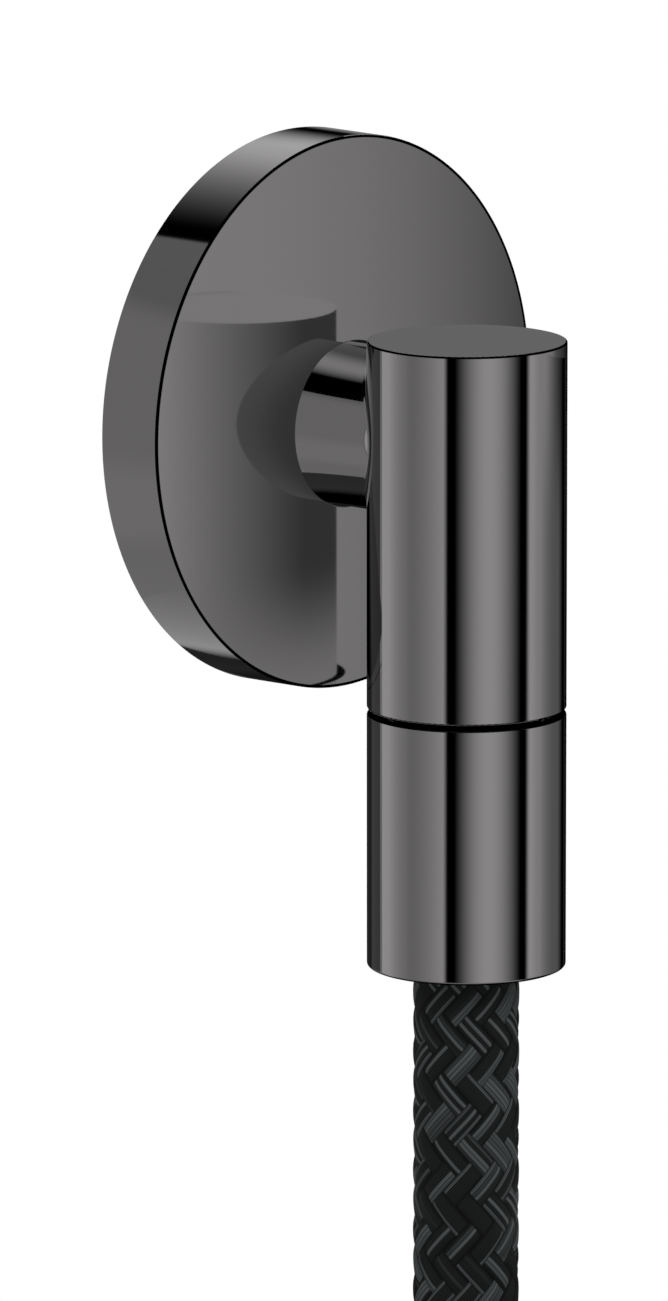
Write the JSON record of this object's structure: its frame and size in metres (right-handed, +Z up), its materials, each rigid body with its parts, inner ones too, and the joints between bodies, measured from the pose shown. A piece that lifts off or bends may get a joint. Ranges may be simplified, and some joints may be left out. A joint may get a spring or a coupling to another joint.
{
  "type": "wall outlet elbow",
  "caption": "Wall outlet elbow for a hand shower: a round rosette, a short neck, a vertical barrel and a hose nut with a braided shower hose, its spare length tied in a hank.",
  "frame": {"origin": "on the axis of the wall thread, in the plane of the finished wall", "axes": "+Y into the wall along the thread, -Y out of the wall, +Z up, +X to the right seen from the front"},
  "size_m": [0.0954, 0.0772, 0.4299],
  "materials": {
    "black_chrome": "polished black chrome",
    "bare_brass": "machined",
    "plain_steel": "plain stainless steel",
    "spring_steel": "drawn wire",
    "black_rubber": "smooth rubber",
    "washer_rubber": "matt rubber",
    "foam_seal": "closed foam",
    "white_plastic": "moulded plastic",
    "braided_hose": "black textile braid",
    "tie_strap": "black hook and loop strap"
  },
  "bodies": {
    "elbow": {"elbow_body": "black_chrome", "wall_nipple": "bare_brass", "nipple_o_ring_front": "black_rubber", "nipple_o_ring_rear": "black_rubber", "wall_thread_washer": "washer_rubber", "grub_screw": "plain_steel", "valve_housing": "white_plastic", "valve_o_ring": "black_rubber", "valve_cage": "white_plastic", "valve_spring": "spring_steel", "hose_nut": "black_chrome", "hose_washer": "washer_rubber", "hose_insert": "bare_brass", "nut_glide_ring": "white_plastic", "hose_ferrule": "plain_steel", "hose_tube": "braided_hose", "hose_hank": "braided_hose", "hank_tie": "tie_strap", "hose_end_tube": "braided_hose", "end_washer": "washer_rubber", "end_insert": "bare_brass", "end_glide_ring": "white_plastic", "end_ferrule": "plain_steel"},
    "flange_ring": {"flange_grip_ring": "black_rubber"},
    "flange": {"wall_flange": "black_chrome", "flange_rim_seal": "foam_seal"},
    "poppet": {"valve_poppet": "white_plastic", "poppet_seal": "black_rubber"},
    "end_nut": {"end_nut": "black_chrome"}
  },
  "joints": [
    {"name": "rosette_slide", "type": "slide", "parent": "elbow", "child": "flange_ring", "axis": [0, -1, 0], "range_m": [0, 0.0064]},
    {"name": "rosette_turn", "type": "hinge", "parent": "flange_ring", "child": "flange", "pos_m": [0, 0, 0], "axis": [0, -1, 0], "continuous": true},
    {"name": "valve_opening", "type": "slide", "parent": "elbow", "child": "poppet", "axis": [0, 0, -1], "range_m": [0, 0.003], "stiffness_N_per_m": 150, "springref_m": -0.003, "deforming": ["valve_spring"]},
    {"name": "end_nut_turn", "type": "hinge", "parent": "elbow", "child": "end_nut", "pos_m": [-0.0061, -0.05, -0.377], "axis": [0, 0, 1], "continuous": true}
  ]
}
